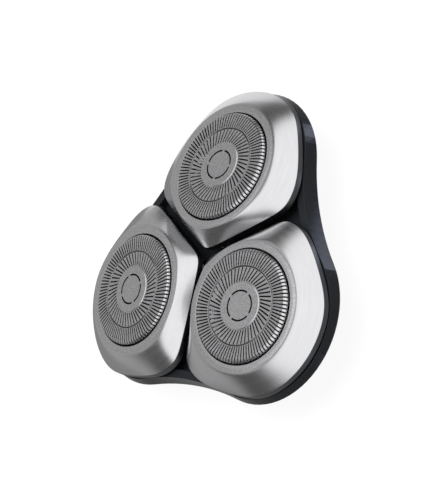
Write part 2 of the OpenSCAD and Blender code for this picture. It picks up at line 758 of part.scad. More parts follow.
// Driven gear with its hollow tube; a tooth gap faces the drive gear
module driven_gear(k) {
    gap_turn = -90 + 180 / driven_teeth;
    color([0.90, 0.90, 0.88]) on_spindle(k) difference() {
        union() {
            translate([0, 0, gear_z]) linear_extrude(gear_t) rotate(gap_turn) polygon(gear_outline(driven_teeth));
            translate([0, 0, gear_z]) cylinder(h = tube_end - gear_z, r = tube_r, $fn = round_fn);
            translate([0, 0, gear_z - gear_gap - 0.8])
                cylinder(h = gear_gap + 0.8 + 0.3, r = journal_r, $fn = round_fn);
        }
        translate([0, 0, well_z]) linear_extrude(tube_end - well_z + past) hexagon(shank_flats + 2 * hex_gap);
    }
}

// Drive gear with the socket for the handle's shaft; a tooth points at each driven gear
module drive_gear() {
    color([0.88, 0.88, 0.86]) difference() {
        union() {
            translate([0, 0, gear_z]) linear_extrude(gear_t) rotate(90) polygon(gear_outline(drive_teeth));
            translate([0, 0, hub_z]) cylinder(h = gear_z - hub_z + 0.3, r = hub_r, $fn = round_fn);
            translate([0, 0, gear_z + gear_t - 0.3])
                cylinder(h = gear_gap / 2 + plate_t + 0.3, r = journal_r, $fn = round_fn);
        }
        translate([0, 0, hub_z - past]) linear_extrude(drive_socket_depth + past) hexagon(drive_flats);
    }
}

// Coil spring: a round wire swept along a helix, from z0 up to z1
wire_sides = 6;
turn_steps = 12;
module coil_spring(coil_r, z0, z1) {
    rings = spring_turns * turn_steps;
    rise = (z1 - z0 - 2 * wire_r) / rings;
    points = concat(
        [for (s = [0:rings]) for (i = [0:wire_sides - 1])
            let (
                turn = 360 * s / turn_steps,
                side = 360 * i / wire_sides,
                r = coil_r + wire_r * cos(side)
            )
            [r * cos(turn), r * sin(turn), z0 + wire_r + rise * s + wire_r * sin(side)]],
        [
            [coil_r, 0, z0 + wire_r],
            [coil_r * cos(360 * spring_turns), coil_r * sin(360 * spring_turns), z1 - wire_r]
        ]
    );
    last = rings * wire_sides;
    start_mid = last + wire_sides;
    faces = concat(
        [for (s = [0:rings - 1]) for (i = [0:wire_sides - 1])
            let (
                a = s * wire_sides + i,
                b = s * wire_sides + (i + 1) % wire_sides,
                c = b + wire_sides,
                d = a + wire_sides
            )
            each [[a, c, b], [a, d, c]]],
        [for (i = [0:wire_sides - 1]) [i, (i + 1) % wire_sides, start_mid]],
        [for (i = [0:wire_sides - 1]) [last + (i + 1) % wire_sides, last + i, start_mid + 1]]
    );
    polyhedron(points = points, faces = faces);
}

module spindle_spring(k) {
    color([0.70, 0.71, 0.73]) on_spindle(k) coil_spring(spindle_coil_r, well_z + seat_gap, shank_z - seat_gap);
}

// Spring between the deck and the toe of the carrier, which pushes the pod outwards
module pod_spring(k) {
    toe_z = cap_plane + carrier_bottom * cos(pod_lean) + spring_seat_y * sin(pod_lean);
    dip = (pod_coil_r + wire_r) * tan(pod_lean) + seat_gap;
    color([0.70, 0.71, 0.73]) rotate([0, 0, 120 * (k - 1)]) translate([0, spring_seat_r, 0])
        coil_spring(pod_coil_r, frame_top + seat_gap, toe_z - dip);
}

head_frame();
rear_housing();
gear_plate();
drive_bush();
neck_seal();
housing_screws();
drive_gear();
for (k = POD_IDS) {
    pod_trim(k);
    pod_carrier(k);
    retaining_ring(k);
    cutter_cap(k);
    cap_centre(k);
    cutter_blades(k);
    cutter_hub(k);
    drive_spindle(k);
    driven_gear(k);
    spindle_spring(k);
    pod_spring(k);
}
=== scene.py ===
"""Looks of a rotary shaver head with three pods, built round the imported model."""
import json
import math

import bmesh
import bpy
from mathutils import Matrix, Vector


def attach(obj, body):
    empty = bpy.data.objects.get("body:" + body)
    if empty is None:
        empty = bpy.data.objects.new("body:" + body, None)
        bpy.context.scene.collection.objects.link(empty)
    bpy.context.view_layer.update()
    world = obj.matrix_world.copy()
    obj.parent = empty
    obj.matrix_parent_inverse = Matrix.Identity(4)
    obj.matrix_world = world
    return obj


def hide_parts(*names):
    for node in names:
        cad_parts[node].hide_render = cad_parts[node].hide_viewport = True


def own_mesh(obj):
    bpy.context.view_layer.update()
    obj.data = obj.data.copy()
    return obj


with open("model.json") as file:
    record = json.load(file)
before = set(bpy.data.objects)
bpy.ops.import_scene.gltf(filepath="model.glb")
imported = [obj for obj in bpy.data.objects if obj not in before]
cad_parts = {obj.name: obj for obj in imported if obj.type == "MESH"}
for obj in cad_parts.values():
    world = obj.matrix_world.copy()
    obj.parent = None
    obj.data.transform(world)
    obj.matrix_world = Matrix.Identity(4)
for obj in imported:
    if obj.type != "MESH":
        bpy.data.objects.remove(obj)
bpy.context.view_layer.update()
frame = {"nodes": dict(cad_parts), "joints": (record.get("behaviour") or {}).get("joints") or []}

# Lengths below are in millimetres, apart from the camera's place and the far studio, which are in metres
MM = 0.001
PODS = (1, 2, 3)

# Camera, fitted to the photograph: where it stands and how it is turned, in the head's frame
CAMERA_PLACE = Vector((0.3889, -0.0598, 0.3817))
CAMERA_RIGHT = Vector((0.68495, 0.25026, -0.68426))
CAMERA_UP = Vector((-0.09153, 0.96127, 0.25995))
CAMERA_BACK = Vector((0.72282, -0.11542, 0.68133))
FOCAL_PIXELS = 3037.5
PICTURE_HEIGHT = 495
SENSOR = 36.0

# Sizes of the trim, as the solids have them
CAP_CIRCLE_R = 16.2
COUPLING_DEPTH = 4.42
TRIM_R = 16.65
TRIM_BACK = 0.9
FLANK_REACH = 15.45
FLANK_ANGLE = math.radians(64)
TRIM_GAP = 1.0
TRIM_CORNER = 20
TRIM_HOLE_R = 10.35
CREASE_R = 11.5
CREASE_DEPTH = 0.7
SLOPE_DROP = 2.9
SLOPE_ROUND = 1.3
SKIRT_H = 1.1
SKIRT_LEAN = 0.035
TRIM_T = 0.6

# Finer form of the trim: how the ring falls to its crease, and the radii of the section's corners
RING_SHOULDER = 0.5
SHOULDER_FALL = 0.05
CREASE_FALL = 0.15
CREASE_INSET = 0.2
HOLE_ROUND = 0.08
SHOULDER_ROUND = 0.3
CREASE_ROUND = 0.1
EDGE_ROUND = 0.14
HEM_ROUND = 0.1
HEM_INNER_ROUND = 0.08
HOLE_INNER_ROUND = 0.05


def linear(code):
    """An sRGB hex colour as linear RGBA."""
    channels = [int(code[i:i + 2], 16) / 255 for i in (1, 3, 5)]
    return [c / 12.92 if c <= 0.04045 else ((c + 0.055) / 1.055) ** 2.4 for c in channels] + [1.0]


def add_node(tree, kind, settings, inputs):
    """One shader or geometry node with its settings, and its inputs as values or as links from sockets."""
    made = tree.nodes.new(kind)
    for name, value in settings.items():
        setattr(made, name, value)
    for name, value in inputs.items():
        if isinstance(value, bpy.types.NodeSocket):
            tree.links.new(value, made.inputs[name])
        else:
            made.inputs[name].default_value = value
    return made


def feed(tree, node, links):
    """Links sockets to the named inputs of a node."""
    for name, socket in links.items():
        tree.links.new(socket, node.inputs[name])


def joint(name):
    return next(j for j in frame["joints"] if j["name"] == name)


def pod_matrix(k):
    """Pod k's own frame: X along its hinge, Z out of its cap, origin at the cap's face, in metres."""
    across = Vector(joint(f"pod_tilt_{k}")["axis"]).normalized()
    outwards = Vector(joint(f"cap_float_{k}")["axis"]).normalized()
    place = Vector(joint(f"pod_tilt_{k}")["pos_m"]) + outwards * COUPLING_DEPTH * MM
    matrix = Matrix((across, outwards.cross(across), outwards)).transposed().to_4x4()
    matrix.translation = place
    return matrix


def polar(r, angle):
    return Vector((r * math.cos(angle), r * math.sin(angle)))


def finished_mesh(name, made):
    mesh = bpy.data.meshes.new(name)
    made.to_mesh(mesh)
    made.free()
    return mesh


def new_object(name, mesh, materials):
    obj = bpy.data.objects.new(name, mesh)
    bpy.context.scene.collection.objects.link(obj)
    for material in materials:
        mesh.materials.append(material)
    return obj


# Trims

def trim_reach(angle):
    """Outline radius of the trim: an outer arc, two flanks and two straight sides, with round corners."""
    back = TRIM_BACK * math.sin(angle)
    arc = -back + math.sqrt(back * back + TRIM_R ** 2 - TRIM_BACK ** 2)
    side = CAP_CIRCLE_R * math.sin(math.radians(60)) - TRIM_GAP
    blend = (1 / arc) ** TRIM_CORNER
    outwards = math.radians(90)
    edges = ((math.radians(-60), side), (math.radians(-120), side),
             (outwards - FLANK_ANGLE, FLANK_REACH), (outwards + FLANK_ANGLE, FLANK_REACH))
    for normal, distance in edges:
        blend += (max(0.0, math.cos(angle - normal)) / distance) ** TRIM_CORNER
    return blend ** (-1 / TRIM_CORNER)


CORNER_STEPS = 5


def rounded(corners):
    """A closed section with round corners. A corner is (r, z, radius, finish of the next stretch)."""
    # The two roundings of a stretch may not meet, so each takes less than half of it
    most = 0.45
    made = []
    count = len(corners)
    for i, (r, z, radius, finish) in enumerate(corners):
        here = Vector((r, z))
        before = Vector(corners[i - 1][:2])
        after = Vector(corners[(i + 1) % count][:2])
        into = (before - here).normalized()
        away = (after - here).normalized()
        if radius <= 0:
            made.append((here, finish))
            continue
        half = into.angle(away) / 2
        cut = min(radius / math.tan(half), most * (before - here).length, most * (after - here).length)
        start = here + into * cut
        end = here + away * cut
        for s in range(CORNER_STEPS + 1):
            t = s / CORNER_STEPS
            # A parabola between the ends of the rounding stands for its arc
            point = start * (1 - t) ** 2 + here * 2 * t * (1 - t) + end * t ** 2
            made.append((point, finish))
    return made


RING, SLOPE, SKIRT, INSIDE = range(4)
SLOPE_POINTS = 10


def trim_section(angle):
    """Section of the trim at an angle round the cap, from the hole outwards and back along the inside."""
    reach = trim_reach(angle)
    edge = reach - SKIRT_LEAN * (reach - CREASE_R)
    top = -CREASE_DEPTH
    skirt_top = top - SLOPE_DROP
    skirt_bottom = skirt_top - SKIRT_H
    under = top - CREASE_FALL - TRIM_T
    corners = [(TRIM_HOLE_R, top, HOLE_ROUND, RING),
               (CREASE_R - RING_SHOULDER, top - SHOULDER_FALL, SHOULDER_ROUND, RING),
               (CREASE_R, top - CREASE_FALL, CREASE_ROUND, SLOPE)]
    for i in range(1, SLOPE_POINTS):
        t = i / SLOPE_POINTS
        corners.append((CREASE_R + (edge - CREASE_R) * t, top - SLOPE_DROP * t ** SLOPE_ROUND, 0.0, SLOPE))
    corners += [(edge, skirt_top, EDGE_ROUND, SKIRT), (reach, skirt_bottom, HEM_ROUND, INSIDE),
                (reach - TRIM_T, skirt_bottom, HEM_INNER_ROUND, INSIDE)]
    inner_crease = CREASE_R - CREASE_INSET
    for t in (1.0, 0.5, 0.0):
        r = inner_crease + (edge - TRIM_T - inner_crease) * t
        corners.append((r, under + (skirt_top - TRIM_T / 2 - under) * t ** SLOPE_ROUND, 0.0, INSIDE))
    corners.append((TRIM_HOLE_R, under, HOLE_INNER_ROUND, INSIDE))
    return rounded(corners)


def ring_mesh(name, rings, faces_material, matrix):
    """A closed tube of quads: rings[s][i] is point i of section s, and the sections join round."""
    made = bmesh.new()
    rows = [[made.verts.new(matrix @ (Vector(p) * MM)) for p in ring] for ring in rings]
    count = len(rows[0])
    for s, row in enumerate(rows):
        following = rows[(s + 1) % len(rows)]
        for i in range(count):
            j = (i + 1) % count
            face = made.faces.new((row[i], row[j], following[j], following[i]))
            face.material_index = faces_material[i]
            face.smooth = True
    bmesh.ops.recalc_face_normals(made, faces=made.faces)
    return finished_mesh(name, made)


TRIM_SEGMENTS = 180


def trim_piece(k, materials):
    """Pressed metal shield of pod k, with rolled edges."""
    angles = [2 * math.pi * s / TRIM_SEGMENTS for s in range(TRIM_SEGMENTS)]
    sections = [trim_section(angle) for angle in angles]
    rings = [[(*polar(p.x, angle), p.y) for p, _ in section] for angle, section in zip(angles, sections)]
    finishes = [finish for _, finish in sections[0]]
    mesh = ring_mesh(f"trim_{k}", rings, finishes, pod_matrix(k))
    piece = new_object(f"trim_shield_{k}", mesh, materials)
    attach(piece, f"pod_{k}")
    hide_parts(f"pod_trim_{k}")


# Materials

SMOOTHLY = {"interpolation_type": "SMOOTHSTEP"}
PLASTIC_IOR = 1.5


def new_material(name):
    material = bpy.data.materials.new(name)
    material.use_nodes = True
    tree = material.node_tree
    return material, tree, tree.nodes["Principled BSDF"]


def local_point(tree, matrix):
    """Position on the resting head, in millimetres, in the frame that matrix gives."""
    inverse = matrix.inverted()
    coordinates = add_node(tree, "ShaderNodeTexCoord", {}, {})
    mapping = add_node(tree, "ShaderNodeMapping", {"vector_type": "POINT"}, {
        "Vector": coordinates.outputs["Object"],
        "Rotation": inverse.to_euler(),
        "Location": inverse.translation / MM,
        "Scale": (1 / MM,) * 3,
    })
    return mapping.outputs["Vector"]


def round_the_axis(tree, point):
    """A point's offset from the Z axis, its distance from it and its height."""
    parts = add_node(tree, "ShaderNodeSeparateXYZ", {}, {"Vector": point})
    flat = add_node(tree, "ShaderNodeCombineXYZ", {}, {"X": parts.outputs["X"], "Y": parts.outputs["Y"]})
    radius = add_node(tree, "ShaderNodeVectorMath", {"operation": "LENGTH"}, {0: flat.outputs["Vector"]})
    return flat.outputs["Vector"], radius.outputs["Value"], parts.outputs["Z"]


def turned_marks(tree, point, spacing):
    """Fine marks that run round the Z axis, spacing millimetres apart, as a factor from 0 to 1."""
    # A mark fades within about a twentieth of a turn near the X axis, and a sixth of a turn across it
    reach = 2.0
    flat, radius, height = round_the_axis(tree, point)
    unit = add_node(tree, "ShaderNodeVectorMath", {"operation": "NORMALIZE"}, {0: flat})
    around = add_node(tree, "ShaderNodeSeparateXYZ", {}, {"Vector": unit.outputs["Vector"]})
    along = add_node(tree, "ShaderNodeMath", {"operation": "MULTIPLY"}, {
        0: around.outputs["X"], 1: reach * spacing})
    across = add_node(tree, "ShaderNodeMath", {"operation": "MULTIPLY"}, {0: around.outputs["Y"], 1: reach})
    place = add_node(tree, "ShaderNodeCombineXYZ", {}, {
        "X": radius, "Y": height, "Z": along.outputs["Value"]})
    noise = add_node(tree, "ShaderNodeTexNoise", {"noise_dimensions": "4D"}, {
        "Vector": place.outputs["Vector"], "W": across.outputs["Value"],
        "Scale": 0.5 / spacing, "Detail": 2.0, "Roughness": 0.6})
    return noise.outputs["Fac"]


def brushed_steel(name, k, dark, light, roughness, spacing, depth):
    """Stainless sheet brushed round the pod's axis: soft bright and dark sweeps with fine lines in them."""
    roughness_spread = 0.05
    mark_depth = 0.02
    material, tree, shader = new_material(name)
    marks = turned_marks(tree, local_point(tree, pod_matrix(k)), spacing)
    steel = add_node(tree, "ShaderNodeMix", {"data_type": "RGBA"}, {
        "Factor": marks, "A": linear(dark), "B": linear(light)})
    polish = add_node(tree, "ShaderNodeMapRange", {}, {
        "Value": marks, "To Min": roughness - roughness_spread, "To Max": roughness + roughness_spread})
    bump = add_node(tree, "ShaderNodeBump", {}, {
        "Height": marks, "Strength": depth, "Distance": mark_depth * MM})
    feed(tree, shader, {"Base Color": steel.outputs["Result"], "Roughness": polish.outputs["Result"],
                        "Normal": bump.outputs["Normal"]})
    shader.inputs["Metallic"].default_value = 1.0
    return material


def paint_shade(tree, factor, shade):
    """Paints shade into a material's base colour: darkens it to the shade colour where factor is 0."""
    base = tree.nodes["Principled BSDF"].inputs["Base Color"]
    mix = add_node(tree, "ShaderNodeMix", {"data_type": "RGBA"}, {
        "Factor": factor, "A": linear(shade), "B": base.links[0].from_socket})
    tree.links.new(mix.outputs["Result"], base)


def ground_cap_steel(name, k, dark, light, roughness, spacing):
    """Hardened steel, ground across its slots: bright ribs with broken edges that catch the light, and
    painted shade in the groove and down the slots' walls.
    """
    groove_r = 7.0
    groove_half = 0.1
    groove_blend = 0.04
    # Painted shade down the slots' walls: the height in the pod's frame at which it is full, and at which it
    # ends
    dark_z = -0.85
    lit_z = -0.65
    broken_edge = 0.05
    material = brushed_steel(name, k, dark, light, roughness, spacing, 0.2)
    tree = material.node_tree
    _, radius, height = round_the_axis(tree, local_point(tree, pod_matrix(k)))
    # Painted shade in the groove between the two rings of ribs, where groove_lit is 0
    off = add_node(tree, "ShaderNodeMath", {"operation": "SUBTRACT"}, {0: radius, 1: groove_r})
    distance = add_node(tree, "ShaderNodeMath", {"operation": "ABSOLUTE"}, {0: off.outputs["Value"]})
    groove_lit = add_node(tree, "ShaderNodeMapRange", SMOOTHLY, {
        "Value": distance.outputs["Value"], "From Min": groove_half, "From Max": groove_half + groove_blend})
    lit = add_node(tree, "ShaderNodeMapRange", SMOOTHLY, {
        "Value": height, "From Min": dark_z, "From Max": lit_z})
    both = add_node(tree, "ShaderNodeMath", {"operation": "MULTIPLY"}, {
        0: groove_lit.outputs["Result"], 1: lit.outputs["Result"]})
    paint_shade(tree, both.outputs["Value"], "#5a5a5c")
    edge = add_node(tree, "ShaderNodeBevel", {"samples": 4}, {"Radius": broken_edge * MM})
    feed(tree, tree.nodes["Bump"], {"Normal": edge.outputs["Normal"]})
    return material


def blasted_steel(name, k, dark, light, roughness, grain):
    """Bead-blasted steel: an even satin grey with a fine grain that scatters every reflection."""
    # Range of the noise that spans the two colours
    low = 0.3
    high = 0.7
    pit_strength = 0.3
    pit_depth = 0.03
    material, tree, shader = new_material(name)
    noise = add_node(tree, "ShaderNodeTexNoise", {}, {
        "Vector": local_point(tree, pod_matrix(k)), "Scale": 0.5 / grain, "Detail": 3.0})
    pits = add_node(tree, "ShaderNodeMapRange", SMOOTHLY, {
        "Value": noise.outputs["Fac"], "From Min": low, "From Max": high})
    steel = add_node(tree, "ShaderNodeMix", {"data_type": "RGBA"}, {
        "Factor": pits.outputs["Result"], "A": linear(dark), "B": linear(light)})
    bump = add_node(tree, "ShaderNodeBump", {}, {
        "Height": noise.outputs["Fac"], "Strength": pit_strength, "Distance": pit_depth * MM})
    feed(tree, shader, {"Base Color": steel.outputs["Result"], "Normal": bump.outputs["Normal"]})
    shader.inputs["Metallic"].default_value = 1.0
    shader.inputs["Roughness"].default_value = roughness
    return material


def shade_sunk_faces(material, k, node):
    """Darkens what lies below the face of a flat piece, as slots that no lamp reaches into look."""
    lit_depth = 0.08
    dark_depth = 0.16
    inverse = pod_matrix(k).inverted()
    face_z = max((inverse @ v.co).z for v in frame["nodes"][node].data.vertices) / MM
    tree = material.node_tree
    _, _, height = round_the_axis(tree, local_point(tree, pod_matrix(k)))
    lit = add_node(tree, "ShaderNodeMapRange", SMOOTHLY, {
        "Value": height, "From Min": face_z - dark_depth, "From Max": face_z - lit_depth})
    paint_shade(tree, lit.outputs["Result"], "#303032")


def moulded_plastic(name, dark, light, roughness, grain, depth=0.1):
    """Moulded plastic: nearly one colour, with a faint grain from the mould."""
    roughness_share = 0.1
    grain_depth = 0.03
    material, tree, shader = new_material(name)
    noise = add_node(tree, "ShaderNodeTexNoise", {}, {
        "Vector": local_point(tree, Matrix.Identity(4)), "Scale": 0.5 / grain, "Detail": 3.0})
    plastic = add_node(tree, "ShaderNodeMix", {"data_type": "RGBA"}, {
        "Factor": noise.outputs["Fac"], "A": linear(dark), "B": linear(light)})
    polish = add_node(tree, "ShaderNodeMapRange", {}, {
        "Value": noise.outputs["Fac"],
        "To Min": roughness * (1 - roughness_share), "To Max": roughness * (1 + roughness_share)})
    bump = add_node(tree, "ShaderNodeBump", {}, {
        "Height": noise.outputs["Fac"], "Strength": depth, "Distance": grain_depth * MM})
    feed(tree, shader, {"Base Color": plastic.outputs["Result"], "Roughness": polish.outputs["Result"],
                        "Normal": bump.outputs["Normal"]})
    shader.inputs["IOR"].default_value = PLASTIC_IOR
    return material


def frame_black():
    """Black ABS: polished on the wall, which mirrors the lamps, and spark-eroded matte on the deck."""
    wall_roughness = 0.14
    deck_roughness = 0.6
    deck_grain = 0.3
    grit = 0.12
    grit_depth = 0.03
    broken_edge = 0.14
    # The upward part of a face's normal at which the matte deck starts and is full
    deck_start = 0.6
    deck_full = 0.8
    material, tree, shader = new_material("polished_black_abs")
    noise = add_node(tree, "ShaderNodeTexNoise", {}, {
        "Vector": local_point(tree, Matrix.Identity(4)), "Scale": 0.5 / grit, "Detail": 3.0})
    facing = add_node(tree, "ShaderNodeNewGeometry", {}, {})
    parts = add_node(tree, "ShaderNodeSeparateXYZ", {}, {"Vector": facing.outputs["True Normal"]})
    deck = add_node(tree, "ShaderNodeMapRange", {}, {
        "Value": parts.outputs["Z"], "From Min": deck_start, "From Max": deck_full})
    black = add_node(tree, "ShaderNodeMix", {"data_type": "RGBA"}, {
        "Factor": noise.outputs["Fac"], "A": linear("#0b0d10"), "B": linear("#101216")})
    polish = add_node(tree, "ShaderNodeMapRange", {}, {
        "Value": deck.outputs["Result"], "To Min": wall_roughness, "To Max": deck_roughness})
    depth = add_node(tree, "ShaderNodeMapRange", {}, {
        "Value": deck.outputs["Result"], "To Min": 0.0, "To Max": deck_grain})
    edge = add_node(tree, "ShaderNodeBevel", {"samples": 6}, {"Radius": broken_edge * MM})
    bump = add_node(tree, "ShaderNodeBump", {}, {
        "Height": noise.outputs["Fac"], "Strength": depth.outputs["Result"],
        "Distance": grit_depth * MM, "Normal": edge.outputs["Normal"]})
    feed(tree, shader, {"Base Color": black.outputs["Result"], "Roughness": polish.outputs["Result"],
                        "Normal": bump.outputs["Normal"]})
    shader.inputs["IOR"].default_value = PLASTIC_IOR
    return material


def smoothing_group():
    """Shades a solid smoothly, apart from its edges that turn by more than an angle."""
    sharp = math.radians(30)
    group = bpy.data.node_groups.new("smooth_between_edges", "GeometryNodeTree")
    group.interface.new_socket("Geometry", in_out="INPUT", socket_type="NodeSocketGeometry")
    group.interface.new_socket("Geometry", in_out="OUTPUT", socket_type="NodeSocketGeometry")
    entry = add_node(group, "NodeGroupInput", {}, {})
    turn = add_node(group, "GeometryNodeInputMeshEdgeAngle", {}, {})
    blunt = add_node(group, "FunctionNodeCompare", {"operation": "LESS_EQUAL"}, {
        0: turn.outputs[0], 1: sharp})
    faces = add_node(group, "GeometryNodeSetShadeSmooth", {"domain": "FACE"}, {
        "Geometry": entry.outputs[0], "Shade Smooth": True})
    edges = add_node(group, "GeometryNodeSetShadeSmooth", {"domain": "EDGE"}, {
        "Geometry": faces.outputs[0], "Shade Smooth": blunt.outputs[0]})
    add_node(group, "NodeGroupOutput", {}, {0: edges.outputs[0]})
    return group


SMOOTHING = smoothing_group()


def dress(node, material):
    """Gives a CAD node its material and smooth shading."""
    obj = frame["nodes"][node]
    for slot in obj.material_slots:
        slot.material = material
    smoother = obj.modifiers.new("smooth", "NODES")
    smoother.node_group = SMOOTHING


# Pods and inner parts. Grains and brush marks are drawn at 0.1 mm or more, so that they show

def make_pods():
    for k in PODS:
        # Trim: mirror-like sweeps on the slope, an even satin ring, a skirt painted darker as shade and the
        # sheet's back painted dark as shade
        slope = brushed_steel(f"brushed_slope_{k}", k, "#d6d6d8", "#e6e6e8",
                              roughness=0.25, spacing=0.25, depth=0.2)
        ring = blasted_steel(f"blasted_ring_{k}", k, "#c6c6c8", "#ececee", roughness=0.42, grain=0.12)
        # Painted shade: the skirt is the slope's steel, painted darker
        skirt = brushed_steel(f"shaded_brushed_skirt_{k}", k, "#727376", "#808184",
                              roughness=0.3, spacing=0.2, depth=0.3)
        # Painted shade: the sheet's back is painted dark
        inside = blasted_steel(f"shaded_sheet_back_{k}", k, "#5a5a5c", "#6c6c6e", roughness=0.5, grain=0.3)
        trim_piece(k, [ring, slope, skirt, inside])
        # Cap: pale ground ribs, with a grainy disc whose slots get painted shade, over blades painted dark
        # as shade
        cap = ground_cap_steel(f"ground_cap_{k}", k, "#cacacc", "#f2f2f4", roughness=0.28, spacing=0.2)
        disc = blasted_steel(f"blasted_disc_{k}", k, "#c4c4c6", "#ececee", roughness=0.36, grain=0.1)
        shade_sunk_faces(disc, k, f"cap_centre_{k}")
        # Painted shade: the blades' steel is painted dark
        blade = brushed_steel(f"shaded_blade_steel_{k}", k, "#4a4b4d", "#5c5d60",
                              roughness=0.35, spacing=0.2, depth=0.2)
        dress(f"cutter_cap_{k}", cap)
        dress(f"cap_centre_{k}", disc)
        dress(f"cutter_blades_{k}", blade)


def make_blacks():
    # Textured ABS: the carriers stay duller than the frame, and the housing has a soft charcoal shine
    satin = moulded_plastic("satin_black_abs", "#141517", "#1a1b1e", roughness=0.5, grain=0.15)
    housing = moulded_plastic("satin_charcoal_abs", "#1b1c1f", "#232428", roughness=0.35, grain=0.3)
    dress("head_frame", frame_black())
    dress("rear_housing", housing)
    for k in PODS:
        dress(f"pod_carrier_{k}", satin)


def shortening_spring(node, body, material):
    """The coil of a spring node: a copy of its mesh with the material, which moves with a body in place of
    the node.
    """
    solid = frame["nodes"][node]
    coil = new_object(f"{node}_coil", solid.data.copy(), [])
    coil.matrix_world = solid.matrix_world
    for slot in coil.material_slots:
        slot.material = material
    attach(coil, body)
    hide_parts(node)
    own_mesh(coil)


def make_springs(wire):
    for k in PODS:
        shortening_spring(f"pod_spring_{k}", "root",
                          wire)
        shortening_spring(f"spindle_spring_{k}", f"gear_{k}",
                          wire)


def make_inner_parts():
    # Acetal: milky and slightly waxy, in the natural white of gears and in two colours that tell parts apart
    acetal = moulded_plastic("natural_acetal", "#d9d6cc", "#e3e0d7", roughness=0.45, grain=0.4)
    blue = moulded_plastic("blue_grey_acetal", "#4d6480", "#587090", roughness=0.45, grain=0.4)
    pale = moulded_plastic("pale_grey_acetal", "#c4c6c8", "#d0d2d4", roughness=0.45, grain=0.4)
    # Rubber swallows the light, zinc plating is a cool grey, sintered brass is warm, drawn wire is bright
    rubber = moulded_plastic("black_rubber", "#141414", "#1b1b1b", roughness=0.75, grain=0.25, depth=0.3)
    zinc = blasted_steel("zinc_plated_steel", 1, "#a8aaae", "#c3c5c8", roughness=0.35, grain=0.5)
    brass = blasted_steel("sintered_brass", 1, "#b0935a", "#c4a76c", roughness=0.4, grain=0.2)
    wire = blasted_steel("spring_wire", 1, "#8d8f92", "#a5a7aa", roughness=0.3, grain=0.2)
    dress("gear_plate", zinc)
    dress("housing_screws", zinc)
    dress("drive_bush", brass)
    dress("neck_seal", rubber)
    dress("drive_gear", acetal)
    for k in PODS:
        dress(f"driven_gear_{k}", acetal)
        dress(f"drive_spindle_{k}", acetal)
        dress(f"cutter_hub_{k}", blue)
        dress(f"retaining_ring_{k}", pale)
    make_springs(wire)


# Studio

def make_camera():
    data = bpy.data.cameras.new("camera")
    data.sensor_width = SENSOR
    data.lens = FOCAL_PIXELS * SENSOR / PICTURE_HEIGHT
    data.clip_start = 0.05
    data.clip_end = 10
    camera = bpy.data.objects.new("camera", data)
    matrix = Matrix((CAMERA_RIGHT, CAMERA_UP, CAMERA_BACK)).transposed().to_4x4()
    matrix.translation = CAMERA_PLACE
    camera.matrix_world = matrix
    bpy.context.scene.collection.objects.link(camera)
    bpy.context.scene.camera = camera


def seen_ray(tree):
    """1 for what the camera sees, directly, in a reflection or through glass, and 0 for other light."""
    path = add_node(tree, "ShaderNodeLightPath", {}, {})
    seen = add_node(tree, "ShaderNodeMath", {"operation": "ADD"}, {
        0: path.outputs["Is Camera Ray"], 1: path.outputs["Is Glossy Ray"]})
    through = add_node(tree, "ShaderNodeMath", {"operation": "ADD", "use_clamp": True}, {
        0: seen.outputs["Value"], 1: path.outputs["Is Transmission Ray"]})
    return through.outputs["Value"]


WHITE = (1, 1, 1, 1)


def make_world():
    """White where it is seen, and half as strong as a light on the head."""
    ambient_level = 0.5
    world = bpy.data.worlds.new("white_studio")
    bpy.context.scene.world = world
    world.use_nodes = True
    tree = world.node_tree
    tree.nodes.clear()
    ambient = add_node(tree, "ShaderNodeBackground", {}, {"Color": WHITE, "Strength": ambient_level})
    white = add_node(tree, "ShaderNodeBackground", {}, {"Color": WHITE, "Strength": 1.0})
    mix = add_node(tree, "ShaderNodeMixShader", {}, {
        0: seen_ray(tree), 1: ambient.outputs[0], 2: white.outputs[0]})
    add_node(tree, "ShaderNodeOutputWorld", {}, {"Surface": mix.outputs["Shader"]})


def bare_material(name):
    """A material whose nodes are all still to be added."""
    material = bpy.data.materials.new(name)
    material.use_nodes = True
    material.node_tree.nodes.clear()
    return material, material.node_tree


def make_floor():
    """White paper floor. Most of its white glows, so that the head's shadow on it stays faint."""
    size = 3.0
    glow_share = 0.93
    made = bmesh.new()
    bmesh.ops.create_grid(made, x_segments=1, y_segments=1, size=size)
    material, tree = bare_material("white_floor")
    glow = add_node(tree, "ShaderNodeEmission", {}, {"Color": WHITE, "Strength": 1.0})
    paper = add_node(tree, "ShaderNodeBsdfDiffuse", {}, {"Color": linear("#f4f4f4")})
    part = add_node(tree, "ShaderNodeMath", {"operation": "MULTIPLY"}, {0: seen_ray(tree), 1: glow_share})
    mix = add_node(tree, "ShaderNodeMixShader", {}, {
        0: part.outputs["Value"], 1: paper.outputs["BSDF"], 2: glow.outputs["Emission"]})
    add_node(tree, "ShaderNodeOutputMaterial", {}, {"Surface": mix.outputs["Shader"]})
    new_object("floor", finished_mesh("floor", made), [material])


def area_light(name, towards, distance, size, watts):
    """A soft round lamp that stands in a direction from the head and faces it, in metres."""
    data = bpy.data.lights.new(name, "AREA")
    data.shape = "DISK"
    data.size = size
    data.energy = watts
    lamp = bpy.data.objects.new(name, data)
    direction = Vector(towards).normalized()
    lamp.location = direction * distance
    lamp.rotation_mode = "QUATERNION"
    lamp.rotation_quaternion = direction.to_track_quat("Z", "Y")
    lamp.visible_camera = False
    lamp.visible_glossy = False
    bpy.context.scene.collection.objects.link(lamp)


def direction_from_head(tree):
    """X, Y and Z of the unit vector from the head to a point of the studio."""
    coordinates = add_node(tree, "ShaderNodeTexCoord", {}, {})
    unit = add_node(tree, "ShaderNodeVectorMath", {"operation": "NORMALIZE"}, {
        0: coordinates.outputs["Object"]})
    parts = add_node(tree, "ShaderNodeSeparateXYZ", {}, {"Vector": unit.outputs["Vector"]})
    return parts.outputs["X"], parts.outputs["Y"], parts.outputs["Z"]


